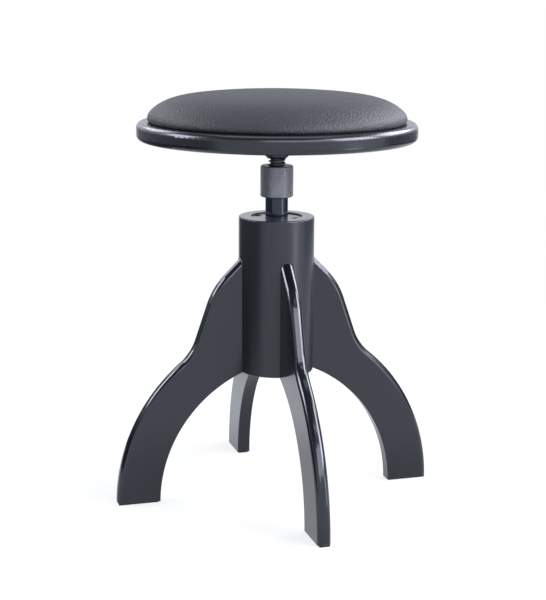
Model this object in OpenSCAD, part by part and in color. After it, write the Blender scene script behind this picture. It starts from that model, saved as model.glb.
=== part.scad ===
// Revolving piano stool: a round padded seat on a screw, over a turned column with four curved legs.
// Millimetres. The origin is on the floor under the column's axis, +Z up, legs along X and Y.
// The seat is drawn at the lowered setting, about two turns of the screw above its lowest.

/* [Seat board] */
// Diameter of the seat board
seat_d = 330; // [310:5:360]
// Thickness of the seat board
seat_t = 21; // [18:1:26]
// Radius that rounds the seat board's top and bottom edges
seat_edge_r = 6.5; // [3:0.5:8]

/* [Cushion] */
// Width of the bare ledge of board round the cushion
ledge_w = 12.5; // [8:0.5:20]
// Height of the cushion's crown above the seat board
pad_h = 35; // [28:1:45]
// How much the crown falls gently from the middle to the edge
crown_drop = 8.5; // [4:0.5:12]
// How much the cushion's shoulder falls sharply near the edge
shoulder_drop = 18; // [12:0.5:20]
// Radius of the cushion's drawn-in lower edge
tuck_r = 4; // [2:0.5:5]
// Thickness of the cover
cover_t = 1.2; // [0.8:0.1:2]
// Width of the cover's hem, turned in under the cushion
hem_w = 24; // [15:1:35]
// Thickness of the plywood disc in the cushion
pad_board_t = 9; // [6:0.5:9.5]
// Length of a staple's crown
staple_w = 10; // [8:0.5:12]
// Thickness of the staple wire
staple_wire = 0.7; // [0.5:0.1:0.8]
// Length of a staple's legs
staple_leg = 6; // [4:0.5:6.5]
// Number of staples in the hem
staple_count = 24; // [12:1:36]
// Distance of the cushion's screws from the inner edge of the hem
pad_screw_in = 19.5; // [8:0.5:40]
// Shank diameter of the cushion's screws
pad_screw_d = 4; // [3:0.5:5]
// How far the cushion's screws reach into the plywood disc
pad_screw_bite = 7; // [4:0.5:7]

/* [Seat fixing] */
// Diameter of the steel plate under the seat
plate_d = 110; // [100:5:130]
// Thickness of the steel plate under the seat
plate_t = 4; // [3:0.5:6]
// Pitch circle diameter of the plate's screws
plate_screw_pcd = 84; // [70:2:88]
// Shank diameter of the plate's screws
plate_screw_d = 5; // [4:0.5:6]
// Length of the plate's screws
plate_screw_len = 18; // [14:1:20]
// Diameter of the hub on the plate
hub_d = 28; // [27:0.5:34]
// Length of the hub below the plate
hub_len = 18; // [14:1:24]
// Chamfer at the hub's lower edge
hub_chamfer = 2.5; // [1:0.5:3]
// Diameter of the pin across the hub
hub_pin_d = 4; // [3:0.5:5]

/* [Screw and hand nut] */
// Outside diameter of the screw thread
thread_d = 20; // [19:0.5:21]
// Thread pitch
pitch = 4; // [3:0.5:5]
// Depth of the thread
thread_depth = 2.25; // [1.5:0.25:2.5]
// Diameter of the screw's plain top end
spigot_d = 14; // [12:0.5:16]
// Outside diameter of the hand nut
nut_d = 39; // [34:0.5:46]
// Length of the hand nut
nut_len = 37; // [30:1:45]
// Chamfer at both ends of the hand nut
nut_chamfer = 1.2; // [0.5:0.1:2]
// Length of thread that shows between the hand nut and the hub
thread_show = 8.5; // [8.5:0.5:20]
// How far the seat can still go down from the height drawn
lift_down = 8; // [4:1:8]
// How far the seat can rise from the height drawn; the column is as long as this needs
lift_up = 112; // [80:4:140]
// Diameter of the stop washer at the screw's lower end
stop_washer_d = 27; // [25:0.5:28]
// Thickness of the stop washer
stop_washer_t = 2.5; // [1.5:0.5:4]
// Shank diameter of the stop screw
stop_screw_d = 8; // [6:1:8]
// Length of the stop screw's shank
stop_screw_len = 20; // [16:1:25]
// Head diameter of the stop screw
stop_head_d = 14; // [12:0.5:16]
// Head height of the stop screw
stop_head_h = 4.4; // [3:0.2:6]

/* [Guide tube] */
// Outside diameter of the guide tube
tube_d = 27; // [26.5:0.5:29]
// Wall of the guide tube
tube_wall = 2; // [1.5:0.1:2.2]
// Length of the guide tube
tube_len = 67; // [55:1:90]
// How far the guide tube stands out of the column
tube_out = 21.5; // [15:0.5:30]
// Thickness of the thrust washer on the tube
washer_t = 1.5; // [1:0.1:3]
// Length of the guide bushes
bush_len = 18; // [12:1:22]
// Diameter of the flange let into the column's top
flange_d = 61; // [55:1:68]
// Thickness of the flange
flange_t = 4; // [3:0.5:6]
// How far the flange lies below the column's rim
flange_sink = 1.5; // [0.5:0.1:3]
// Pitch circle diameter of the flange's screws
flange_pcd = 47; // [44:0.5:48]
// Turn of the flange's screws from the legs, in degrees
flange_turn = 54; // [0:1:89]
// Shank diameter of the flange's screws
flange_screw_d = 4; // [3:0.5:5]
// Length of the flange's screws
flange_screw_len = 30; // [20:1:35]
// Head diameter of the flange's screws
flange_head_d = 8.4; // [7:0.2:9]
// How far the heads of the flange's screws lie below its face
flange_head_sink = 0.7; // [0:0.1:1]

/* [Column] */
// Diameter of the column
col_d = 90; // [84:1:96]
// Rounding of the column's rims
col_edge_r = 1.5; // [0.5:0.25:3]
// Diameter of the bore that takes the screw
bore_d = 30; // [29:0.5:32]
// Thickness of wood left under the bore
bore_floor = 12; // [8:1:20]

/* [Legs] */
// Thickness of a leg
leg_t = 16; // [14:0.5:18]
// Distance from the axis to a foot's outer end
foot_reach = 198; // [185:1:215]
// Width of a leg along its curve
leg_w = 52; // [45:1:55]
// How far behind the axis the leg's long curves are centred
arc_back = 23; // [18:1:28]
// Radius of the leg's rounded shoulder
shoulder_r = 90; // [84:1:94]
// Height of the shoulder's centre
shoulder_z = 210.5; // [205:0.5:220]
// Slope of the straight that rises from the shoulder to the column, in degrees
rise_slope = 45; // [40:1:55]
// Lean of the straight below the shoulder, in degrees
neck_lean = 19; // [15:0.5:23]
// Radius of the hollow between the straight and the long curve
waist_r = 62; // [50:1:75]
// Radius that rounds a leg's outer edge
leg_edge_r = 7; // [3:0.5:7]
// Chamfer at a foot's outer corner
toe_chamfer = 2; // [1:0.5:4]
// Depth of the groove in the column that takes a leg
groove_depth = 5; // [3:0.5:6]
// Diameter of the dowels
dowel_d = 8; // [6:1:10]
// Length of the dowels
dowel_len = 45; // [40:1:48]
// Distance of the dowels from both ends of the joint between a leg and the column
dowel_in = 38; // [30:1:50]
// Thickness of the felt under each foot
felt_t = 1.5; // [1:0.1:3]
// Margin of bare foot round the felt
felt_margin = 2; // [1:0.5:4]

/* [Fits] */
// Radial clearance of the screw in the hand nut and the bushes
run_clear = 0.05; // [0.02:0.01:0.09]
// Radial clearance of glued, welded and screwed joints
join_gap = 0.05; // [0.02:0.01:0.1]
// Gap between the thrust washer and its neighbours
film_gap = 0.1; // [0.05:0.05:0.3]
// Gap between the foam and its cover
soft_gap = 0.3; // [0.1:0.1:0.5]

/* [Hidden] */
$fn = 96;

// How far a cutting solid runs past the surface that it cuts
over = 2;

// The legs, which carry everything above
leg_count = 4;
outer_r = foot_reach + arc_back;
inner_r = outer_r - leg_w;
col_r = col_d / 2;
col_z0 = sqrt(inner_r^2 - (col_r + arc_back)^2);
groove_r = col_r - groove_depth;

// A leg's outer edge is the long curve, the hollow, a straight, the shoulder and one more straight
// up to the column. Where two of them meet, one cuts this far into the other, and the one that is
// cut runs on a little past its end.
blend = 0.03;
blend_turn = 5;
neck_past = 8;
// The straight is the line where cos(lean) x + sin(lean) z = neck_k
neck_n = [cos(neck_lean), sin(neck_lean)];
neck_m = [-sin(neck_lean), cos(neck_lean)];
neck_k = neck_n[1] * shoulder_z + shoulder_r - blend;
neck_top = neck_m[1] * shoulder_z;
waist_k = neck_k + waist_r - blend;
waist_across = waist_k + neck_n[0] * arc_back;
neck_low = sqrt((outer_r + waist_r - blend)^2 - waist_across^2) - neck_m[0] * arc_back;
waist_c = waist_k * neck_n + neck_low * neck_m;
waist_angle = atan2(waist_c[1], waist_c[0] + arc_back);
// The rise is the line where cos(turn) x + sin(turn) z = rise_k
rise_turn = 90 - rise_slope;
rise_n = [cos(rise_turn), sin(rise_turn)];
rise_m = [-sin(rise_turn), cos(rise_turn)];
rise_k = rise_n[1] * shoulder_z + shoulder_r - blend;
rise_low = rise_m[1] * shoulder_z;
shoulder_top_z = (rise_k - rise_n[0] * col_r) / rise_n[1];
// The tongue, which is the part of a leg in the column's groove, ends this far below the rise
tongue_drop = 0.5;
tongue_top_z = shoulder_top_z - tongue_drop;
// The rounding's circle stands this far past the faces that it joins, and so meets them at an angle
edge_rise = 0.05;
edge_in = leg_edge_r - edge_rise;
edge_y = leg_t / 2 - edge_in;

// The screw hangs clear of the bore's floor when the seat is at its lowest
end_clear = 3.1;
bore_z0 = col_z0 + bore_floor;
stop_head_z0 = bore_z0 + lift_down + end_clear;
stop_washer_z0 = stop_head_z0 + stop_head_h;
spindle_z0 = stop_washer_z0 + stop_washer_t;

// The stop washer comes up under the tube when the seat is at its highest
stop_gap = 0.5;
tube_z0 = spindle_z0 + lift_up + stop_gap;
tube_z1 = tube_z0 + tube_len;
col_z1 = tube_z1 - tube_out;
col_len = col_z1 - col_z0;
flange_z1 = col_z1 - flange_sink;
flange_z0 = flange_z1 - flange_t;
flange_head_z = flange_z1 - flange_head_sink;

// What stands on the tube, and the seat on top
washer_z0 = tube_z1 + film_gap;
washer_z1 = washer_z0 + washer_t;
nut_z0 = washer_z1 + film_gap;
nut_z1 = nut_z0 + nut_len;
hub_z0 = nut_z1 + thread_show;
hub_z1 = hub_z0 + hub_len;
seat_z0 = hub_z1 + plate_t;
seat_z1 = seat_z0 + seat_t;
pad_board_z0 = seat_z1 + cover_t;
pad_board_z1 = pad_board_z0 + pad_board_t;

// Radii
seat_r = seat_d / 2;
pad_r = seat_r - ledge_w;
pad_board_r = pad_r - tuck_r;
hem_r = pad_board_r - hem_w;
pad_screw_r = hem_r - pad_screw_in;
thread_r = thread_d / 2;
root_r = thread_r - thread_depth;
running_r = thread_r + run_clear;
tube_r = tube_d / 2;
tube_ir = tube_r - tube_wall;
spigot_r = spigot_d / 2;
spigot_hole_r = spigot_r + join_gap;

// Number of wood screws in the cushion, the plate and the flange
screw_count = 4;
// Heads of the countersunk screws: diameter over shank diameter, and the cross cut in them
head_share = 2;
cross_w_share = 0.3;
cross_deep_share = 0.4;
// Height of a pan head over its shank diameter, and length of a screw's point over the same
pan_share = 0.6;
point_share = 1.2;
// Width of the stop screw's socket over its shank diameter
socket_share = 0.6;
// Turn of the cushion's screws from the legs, in degrees
pad_turn = 45;

// Thread: the flat on a crest and the width that a flank takes, as shares of pitch and depth
crest_share = 0.366;
flank_share = 0.268;
flank_w = thread_depth * flank_share;
crest_w = pitch * crest_share;
turn_count = floor((hub_z0 - spindle_z0) / pitch);
thread_z0 = hub_z0 - turn_count * pitch;

// Cushion outline: steps round the crown and the tuck, and the power that sharpens the shoulder
crown_steps = 26;
tuck_steps = 6;
shoulder_power = 8.6;

black_lacquer = [0.13, 0.14, 0.16];
black_cover = [0.24, 0.25, 0.27];
foam_grey = [0.75, 0.73, 0.66];
plywood = [0.76, 0.63, 0.44];
beech = [0.80, 0.64, 0.45];
black_steel = [0.16, 0.17, 0.20];
oxide_steel = [0.36, 0.37, 0.42];
zinc = [0.68, 0.70, 0.72];
nylon_black = [0.15, 0.15, 0.16];
felt_black = [0.10, 0.10, 0.10];

// Copies its children round the axis
module around(count, radius, turn = 0)
    for (i = [0 : count - 1])
        rotate([0, 0, turn + i * 360 / count])
            translate([radius, 0, 0])
                children();

module ring(outer, inner, height)
    difference() {
        cylinder(r = outer, h = height);
        translate([0, 0, -over]) cylinder(r = inner, h = height + 2 * over);
    }

// Outline of a disc's half section with rounded outer corners, its underside on zero
module rounded_half_disc(radius, height, corner)
    union() {
        square([radius - corner, height]);
        translate([0, corner]) square([radius, height - 2 * corner]);
        for (z = [corner, height - corner])
            translate([radius - corner, z])
                intersection() {
                    circle(r = corner);
                    translate([0, -corner]) square([corner, 2 * corner]);
                }
    }

// Countersunk wood screw: its head's flat lies on zero and its point looks down
module countersunk_screw(shank_d, head_d, length)
    difference() {
        union() {
            translate([0, 0, -(head_d - shank_d) / 2])
                cylinder(d1 = shank_d, d2 = head_d, h = (head_d - shank_d) / 2);
            screw_shank(shank_d, length);
        }
        cross_cut(head_d);
    }

// Pan head wood screw: its head stands on zero and its point looks down
module pan_screw(shank_d, length)
    difference() {
        union() {
            cylinder(d = shank_d * head_share, h = shank_d * pan_share);
            screw_shank(shank_d, length);
        }
        translate([0, 0, shank_d * pan_share]) cross_cut(shank_d * head_share);
    }

module screw_shank(shank_d, length) {
    point = shank_d * point_share;
    translate([0, 0, -length + point]) cylinder(d = shank_d, h = length - point);
    translate([0, 0, -length]) cylinder(d1 = 0, d2 = shank_d, h = point);
}

module cross_cut(head_d) {
    wide = head_d / 2;
    narrow = wide * cross_w_share;
    deep = wide * cross_deep_share;
    translate([-wide / 2, -narrow / 2, -deep]) cube([wide, narrow, deep + over]);
    translate([-narrow / 2, -wide / 2, -deep]) cube([narrow, wide, deep + over]);
}

// Room for a countersunk head and its shank
module countersunk_hole(shank_d, head_d, length) {
    translate([0, 0, -(head_d - shank_d) / 2])
        cylinder(d1 = shank_d + 2 * join_gap, d2 = head_d + 2 * join_gap, h = (head_d - shank_d) / 2);
    translate([0, 0, -length]) cylinder(d = shank_d + 2 * join_gap, h = length);
    cylinder(d = head_d + 2 * join_gap, h = over);
}

// Seat

module seat_board()
    color(black_lacquer)
        difference() {
            translate([0, 0, seat_z0]) rotate_extrude() rounded_half_disc(seat_r, seat_t, seat_edge_r);
            translate([0, 0, seat_z0]) around(screw_count, plate_screw_pcd / 2)
                cylinder(d = plate_screw_d + 2 * join_gap, h = plate_screw_len - plate_t);
            translate([0, 0, seat_z0]) around(screw_count, pad_screw_r, pad_turn)
                mirror([0, 0, 1]) countersunk_hole(pad_screw_d, pad_screw_d * head_share, seat_t + over);
        }

module pad_board()
    color(plywood)
        difference() {
            translate([0, 0, pad_board_z0]) cylinder(r = pad_board_r, h = pad_board_t);
            translate([0, 0, pad_board_z0]) around(screw_count, pad_screw_r, pad_turn)
                translate([0, 0, -over]) cylinder(d = pad_screw_d + 2 * join_gap, h = pad_screw_bite + over);
        }

// Height of the cushion's skin above the seat board at a share of its radius
function crown_z(share) = pad_h - crown_drop * share^2 - shoulder_drop * share^shoulder_power;

// Outline of the cushion's half section, shrunk by an inset, from the axis to where it meets the board
function pad_outline(inset) = concat(
    [for (i = [0 : crown_steps])
        let (share = sin(90 * i / crown_steps))
        [share * (pad_r - inset), crown_z(share) - inset]],
    [for (i = [0 : tuck_steps])
        let (a = -90 * i / tuck_steps)
        [pad_r - tuck_r + (tuck_r - inset) * cos(a), tuck_r + (tuck_r - inset) * sin(a)]]);

module seat_foam()
    color(foam_grey)
        translate([0, 0, seat_z1])
            difference() {
                rotate_extrude() polygon(concat([[0, 0]], pad_outline(cover_t + soft_gap)));
                translate([0, 0, -over]) cylinder(r = pad_r + over, h = pad_board_z1 - seat_z1 + over);
            }

module seat_cover()
    color(black_cover)
        translate([0, 0, seat_z1])
            rotate_extrude()
                polygon(concat(
                    pad_outline(0),
                    [[hem_r, 0], [hem_r, cover_t]],
                    reverse(pad_outline(cover_t))));

function reverse(list) = [for (i = [len(list) - 1 : -1 : 0]) list[i]];

module cover_staples()
    color(zinc)
        translate([0, 0, seat_z1])
            around(staple_count, pad_board_r - hem_w / 2, 180 / staple_count)
                union() {
                    translate([-staple_wire / 2, -staple_w / 2, 0])
                        cube([staple_wire, staple_w, staple_wire]);
                    for (y = [-staple_w / 2, staple_w / 2 - staple_wire])
                        translate([-staple_wire / 2, y, 0])
                            cube([staple_wire, staple_wire, cover_t + staple_leg]);
                }

module pad_screws()
    color(zinc)
        translate([0, 0, seat_z0])
            around(screw_count, pad_screw_r, pad_turn)
                mirror([0, 0, 1])
                    countersunk_screw(
                        pad_screw_d, pad_screw_d * head_share, seat_t + cover_t + pad_screw_bite);

// Seat fixing and screw

module spindle_plate()
    color(black_steel)
        difference() {
            translate([0, 0, hub_z1]) ring(plate_d / 2, spigot_hole_r, plate_t);
            translate([0, 0, hub_z1 - over]) around(screw_count, plate_screw_pcd / 2)
                cylinder(d = plate_screw_d + 2 * join_gap, h = plate_t + 2 * over);
        }

module plate_screws()
    color(zinc)
        translate([0, 0, hub_z1])
            around(screw_count, plate_screw_pcd / 2)
                mirror([0, 0, 1]) pan_screw(plate_screw_d, plate_screw_len);

module spindle_hub()
    color(black_steel)
        difference() {
            translate([0, 0, hub_z0]) union() {
                cylinder(d1 = hub_d - 2 * hub_chamfer, d2 = hub_d, h = hub_chamfer);
                translate([0, 0, hub_chamfer]) cylinder(d = hub_d, h = hub_len - hub_chamfer);
            }
            translate([0, 0, hub_z0 - over]) cylinder(r = spigot_hole_r, h = hub_len + 2 * over);
            hub_pin_hole();
        }

module across_hub(diameter, length)
    translate([0, 0, hub_z0 + hub_len / 2])
        rotate([90, 0, 0])
            translate([0, 0, -length / 2])
                cylinder(d = diameter, h = length);

module hub_pin_hole() across_hub(hub_pin_d + 2 * join_gap, hub_d + 2 * over);

module hub_pin()
    color(zinc)
        difference() {
            across_hub(hub_pin_d, hub_d);
            across_hub(hub_pin_d / 2, hub_d + 2 * over);
        }

// The thread's crests and grooves, one turn for each step
function thread_outline() = [for (i = [0 : turn_count - 1])
    let (z = thread_z0 + i * pitch, low = z + pitch - crest_w - flank_w)
    each [[thread_r, z], [root_r, z + flank_w], [root_r, low], [thread_r, low + flank_w]]];

module spindle()
    color(black_steel)
        difference() {
            rotate_extrude()
                polygon(concat(
                    [[0, spindle_z0], [root_r, spindle_z0], [thread_r, spindle_z0 + thread_depth / 2]],
                    thread_outline(),
                    [[thread_r, hub_z0], [spigot_r, hub_z0], [spigot_r, seat_z0], [0, seat_z0]]));
            hub_pin_hole();
            translate([0, 0, spindle_z0 - over])
                cylinder(d = stop_screw_d + 2 * join_gap, h = stop_screw_len - stop_washer_t + 2 * over);
        }

module stop_washer()
    color(zinc)
        translate([0, 0, stop_washer_z0])
            ring(stop_washer_d / 2, stop_screw_d / 2 + join_gap, stop_washer_t);

module stop_screw()
    color(zinc)
        difference() {
            union() {
                translate([0, 0, stop_head_z0]) cylinder(d = stop_head_d, h = stop_head_h);
                translate([0, 0, stop_washer_z0]) cylinder(d = stop_screw_d, h = stop_screw_len);
            }
            translate([0, 0, stop_head_z0 - over])
                cylinder(d = stop_screw_d * socket_share, h = stop_head_h / 2 + over, $fn = 6);
        }

module hand_nut()
    color(oxide_steel)
        translate([0, 0, nut_z0])
            rotate_extrude()
                polygon([
                    [running_r + nut_chamfer, 0], [nut_d / 2 - nut_chamfer, 0],
                    [nut_d / 2, nut_chamfer], [nut_d / 2, nut_len - nut_chamfer],
                    [nut_d / 2 - nut_chamfer, nut_len], [running_r + nut_chamfer, nut_len],
                    [running_r, nut_len - nut_chamfer], [running_r, nut_chamfer]]);

module thrust_washer()
    color(nylon_black)
        translate([0, 0, washer_z0]) ring(tube_r, running_r, washer_t);

// Base

module guide_tube()
    color(black_lacquer)
        translate([0, 0, tube_z0]) ring(tube_r, tube_ir, tube_len);

module bush(z)
    color(nylon_black)
        translate([0, 0, z]) ring(tube_ir - join_gap, running_r, bush_len);

module upper_bush() bush(tube_z1 - bush_len);

module lower_bush() bush(tube_z0);

module tube_flange()
    color(black_lacquer)
        difference() {
            translate([0, 0, flange_z0]) ring(flange_d / 2, tube_r + join_gap, flange_t);
            translate([0, 0, flange_head_z]) around(screw_count, flange_pcd / 2, flange_turn)
                countersunk_hole(flange_screw_d, flange_head_d, flange_t + over);
        }

module flange_screws()
    color(black_steel)
        translate([0, 0, flange_head_z])
            around(screw_count, flange_pcd / 2, flange_turn)
                countersunk_screw(flange_screw_d, flange_head_d, flange_screw_len);

module column()
    color(black_lacquer)
        difference() {
            translate([0, 0, col_z0]) rotate_extrude() rounded_half_disc(col_r, col_len, col_edge_r);
            translate([0, 0, bore_z0]) cylinder(d = bore_d, h = col_len);
            translate([0, 0, flange_z0])
                cylinder(r = flange_d / 2 + join_gap, h = flange_t + flange_sink + over);
            translate([0, 0, flange_head_z]) around(screw_count, flange_pcd / 2, flange_turn)
                translate([0, 0, -flange_screw_len])
                    cylinder(d = flange_screw_d + 2 * join_gap, h = flange_screw_len);
            around(leg_count, groove_r)
                translate([0, -leg_t / 2, col_z0 - over])
                    cube([groove_depth + over, leg_t, tongue_top_z - col_z0 + over]);
            dowels(join_gap);
        }

// Sector of a disc, between two angles less than 180 degrees apart
module sector(radius, from, to)
    intersection() {
        circle(r = radius, $fn = 360);
        polygon([
            [0, 0],
            2 * radius * [cos(from), sin(from)],
            2 * radius * [cos((from + to) / 2), sin((from + to) / 2)],
            2 * radius * [cos(to), sin(to)]]);
    }

// Side outline of a leg: x is the distance from the axis, y is the height
module leg_outline()
    difference() {
        intersection() {
            union() {
                translate([-arc_back, 0]) sector(outer_r, -blend_turn, waist_angle + blend_turn);
                translate([0, shoulder_z]) sector(shoulder_r, neck_lean - blend_turn, 90);
                polygon([
                    [-arc_back, 0], waist_c,
                    (neck_k + over) * neck_n + neck_top * neck_m, [0, shoulder_z]]);
                polygon([
                    [0, shoulder_z], (rise_k + over) * rise_n + rise_low * rise_m,
                    (rise_k + over) * rise_n + (rise_low + shoulder_r) * rise_m]);
            }
            translate([groove_r, felt_t]) square([foot_reach, shoulder_z + shoulder_r]);
        }
        translate([-arc_back, 0]) circle(r = inner_r, $fn = 360);
        translate([groove_r - over, tongue_top_z]) square([groove_depth + over, shoulder_r]);
        toe_corner();
        rotate(neck_lean) translate([neck_k, neck_low]) square([waist_r, neck_top - neck_low + neck_past]);
        rotate(rise_turn)
            translate([rise_k, rise_low - neck_past]) square([2 * over, shoulder_r + 2 * neck_past]);
        translate(waist_c) circle(r = waist_r, $fn = 180);
    }

// What comes off a foot's outer corner
module toe_corner()
    translate([sqrt(outer_r^2 - felt_t^2) - arc_back, felt_t])
        polygon([[-toe_chamfer, -over], [-toe_chamfer, 0], [over, toe_chamfer + over], [over, -over]]);

// Section of what comes off an edge: x is outward from the arc's centre, y is across the leg's thickness.
// The side is 1 where the leg lies inside the arc and -1 where it lies outside.
module edge_section(edge_x, side)
    difference() {
        translate([side > 0 ? edge_x - edge_in : edge_x - over, edge_y])
            square([edge_in + over, leg_edge_r + over]);
        translate([edge_x - side * edge_in, edge_y]) circle(r = leg_edge_r);
    }

// Sweeps an edge section along an arc in the leg's side view
module edge_arc(centre, from, to)
    translate(centre)
        rotate([0, 0, from])
            rotate_extrude(angle = to - from, $fn = 180)
                children();

// Takes an edge section off along a straight, which lies edge_x from the axis of its turned view
module edge_straight(edge_x, from, length)
    difference() {
        translate([edge_x - edge_in, from, edge_y]) cube([edge_in + over, length, leg_edge_r + over]);
        translate([edge_x - edge_in, from - over, edge_y])
            rotate([-90, 0, 0])
                cylinder(r = leg_edge_r, h = length + 2 * over);
    }

// What comes off one side of a leg's outer edge, one stretch after another, in the leg's side view
module leg_edge(stretch) {
    if (stretch == 1)
        edge_arc([-arc_back, 0, 0], -blend_turn, waist_angle)
            edge_section(outer_r, 1);
    if (stretch == 2)
        edge_arc(concat(waist_c, 0), 180 + neck_lean - blend_turn, 180 + waist_angle + blend_turn)
            edge_section(waist_r, -1);
    if (stretch == 3)
        rotate([0, 0, neck_lean]) edge_straight(neck_k, neck_low, neck_top - neck_low + neck_past);
    if (stretch == 4)
        edge_arc([0, shoulder_z, 0], neck_lean, rise_turn)
            edge_section(shoulder_r, 1);
    if (stretch == 5)
        intersection() {
            rotate([0, 0, rise_turn])
                edge_straight(rise_k, rise_low - neck_past, shoulder_r + neck_past);
            translate([col_r, 0, 0]) cube([shoulder_r, shoulder_z + shoulder_r, leg_t]);
        }
}

module leg_board(stretches)
    if (stretches == 0)
        translate([0, 0, -leg_t / 2]) linear_extrude(leg_t) leg_outline();
    else
        difference() {
            leg_board(stretches - 1);
            leg_edge(stretches);
            mirror([0, 0, 1]) leg_edge(stretches);
        }

module leg(turn)
    color(black_lacquer)
        rotate([0, 0, turn])
            difference() {
                rotate([90, 0, 0]) leg_board(5);
                dowel_pair(join_gap);
            }

module leg_right() leg(0);

module leg_back() leg(90);

module leg_left() leg(180);

module leg_front() leg(270);

// The two dowels of one leg, along X, grown by a gap
module dowel_pair(gap)
    for (z = [col_z0 + dowel_in, shoulder_top_z - dowel_in])
        translate([groove_r - dowel_len / 2 - gap, 0, z])
            rotate([0, 90, 0])
                cylinder(d = dowel_d + 2 * gap, h = dowel_len + 2 * gap);

module dowels(gap) around(leg_count, 0) dowel_pair(gap);

module leg_dowels()
    color(beech) dowels(0);

module foot_pads()
    color(felt_black)
        around(leg_count, foot_reach - leg_w + felt_margin)
            translate([0, -leg_t / 2 + felt_margin, 0])
                cube([leg_w - 2 * felt_margin, leg_t - 2 * felt_margin, felt_t]);

seat_board();
pad_board();
seat_foam();
seat_cover();
cover_staples();
pad_screws();
spindle_plate();
plate_screws();
spindle_hub();
hub_pin();
spindle();
stop_washer();
stop_screw();
hand_nut();
thrust_washer();
column();
guide_tube();
tube_flange();
flange_screws();
upper_bush();
lower_bush();
leg_right();
leg_back();
leg_left();
leg_front();
leg_dowels();
foot_pads();
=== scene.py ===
# %% [markdown]
# # A revolving piano stool
# A round padded seat stands on a steel screw, a knurled hand nut sets its height, and four flat
# curved legs carry a turned wooden column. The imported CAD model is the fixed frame: every piece
# made here takes its place from it. Lengths are in metres, so a millimetre is written as 1 * MM.

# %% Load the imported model
import math

import bmesh
import bpy
import numpy as np
from mathutils import Matrix, Vector


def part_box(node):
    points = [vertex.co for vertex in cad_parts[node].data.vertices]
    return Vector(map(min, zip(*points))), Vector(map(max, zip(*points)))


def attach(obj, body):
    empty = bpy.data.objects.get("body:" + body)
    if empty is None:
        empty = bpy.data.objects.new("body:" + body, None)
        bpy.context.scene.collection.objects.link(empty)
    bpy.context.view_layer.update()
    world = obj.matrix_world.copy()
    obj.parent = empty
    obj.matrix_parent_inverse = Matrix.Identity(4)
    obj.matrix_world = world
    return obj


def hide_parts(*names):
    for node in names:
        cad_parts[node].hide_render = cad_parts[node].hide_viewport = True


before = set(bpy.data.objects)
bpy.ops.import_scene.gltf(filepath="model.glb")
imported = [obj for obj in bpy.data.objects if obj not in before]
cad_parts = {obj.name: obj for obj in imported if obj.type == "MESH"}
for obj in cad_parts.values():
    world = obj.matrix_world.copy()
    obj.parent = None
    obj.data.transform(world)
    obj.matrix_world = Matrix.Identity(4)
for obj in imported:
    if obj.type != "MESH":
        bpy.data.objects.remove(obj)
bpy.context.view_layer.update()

MM = 0.001

# %% [markdown]
# Colours are easiest to compare with a photograph as sRGB hex values, but Blender's sockets take
# linear light, so one function turns the first into the second, by the curve of the sRGB standard.
# One more adds a node to a material: its properties are keyword arguments, and its inputs are
# values or other nodes' outputs. A socket goes by its name where no other has that name. A maths
# node's inputs share one name, and a mix node has each name once for numbers and once for colours,
# so these go by number.

# %% Colour and node helpers
MIX_A, MIX_B, MIX_RESULT = 6, 7, 2


def hex_colour(code):
    """Turns an sRGB hex code into a linear RGBA colour."""
    parts = [int(code[i:i + 2], 16) / 255 for i in (1, 3, 5)]
    return [c / 12.92 if c <= 0.04045 else ((c + 0.055) / 1.055) ** 2.4 for c in parts] + [1.0]


def add_node(tree, kind, inputs=None, **settings):
    """Adds a node to a tree, with its settings, and with its inputs set or linked."""
    node = tree.nodes.new(kind)
    for name, value in settings.items():
        setattr(node, name, value)
    for key, value in (inputs or {}).items():
        socket = node.inputs[key]
        if isinstance(value, bpy.types.NodeSocket):
            tree.links.new(value, socket)
        else:
            socket.default_value = value
    return node


print("mid grey is", [round(c, 3) for c in hex_colour("#808080")])

# %% [markdown]
# A camera could be moved by eye until the picture looks right, but then a wrong view can hide a
# wrong shape. This one comes from fitting a pinhole camera to the photograph, by the circles of
# the seat and the column and by the four feet: it stands 1.73 m from the stool's axis, a little to
# the left of the front leg, and looks down at it by 12.5 degrees. The Standard view transform
# shows each colour as it is written.

# %% Camera
CAMERA_PLACE = (-0.4948, -1.6538, 0.6238)
CAMERA_TURN = -0.2886
CAMERA_PITCH = 0.2188
CAMERA_ROLL = 0.0063
LENS_MM = 88.16
SENSOR_MM = 36
NEAREST_SEEN, FARTHEST_SEEN = 0.05, 50

camera_data = bpy.data.cameras.new("camera")
camera_data.lens = LENS_MM
camera_data.sensor_width = SENSOR_MM
camera_data.clip_start, camera_data.clip_end = NEAREST_SEEN, FARTHEST_SEEN
camera = bpy.data.objects.new("camera", camera_data)
camera.matrix_world = (
    Matrix.Translation(CAMERA_PLACE)
    @ Matrix.Rotation(CAMERA_TURN, 4, "Z")
    @ Matrix.Rotation(math.pi / 2 - CAMERA_PITCH, 4, "X")
    @ Matrix.Rotation(CAMERA_ROLL, 4, "Z")
)
bpy.context.scene.collection.objects.link(camera)
bpy.context.scene.camera = camera
bpy.context.scene.view_settings.view_transform = "Standard"
print("camera at", CAMERA_PLACE)

# %% [markdown]
# New mesh objects are needed again and again. Blender's own discs and cylinders could be added and
# bent into shape, but a list of points and faces says plainly what the piece is, so one function
# makes an object from these. Smooth shading with sharp edges above a given angle suits machined
# parts. Most points here lie on circles round the stool's axis, and polar places them.

# %% Mesh helpers
def shade(piece, sharp_deg=None):
    """Shades a piece smooth, and keeps the edges above an angle sharp."""
    piece.data.shade_smooth()
    if sharp_deg is not None:
        piece.data.set_sharp_from_angle(angle=math.radians(sharp_deg))


def mesh_object(name, points, faces, sharp_deg=None):
    """Makes an object from points and faces, shaded as above."""
    mesh = bpy.data.meshes.new(name)
    mesh.from_pydata([tuple(p) for p in points], [], [tuple(f) for f in faces])
    mesh.update()
    piece = bpy.data.objects.new(name, mesh)
    bpy.context.scene.collection.objects.link(piece)
    shade(piece, sharp_deg)
    return piece


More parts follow.
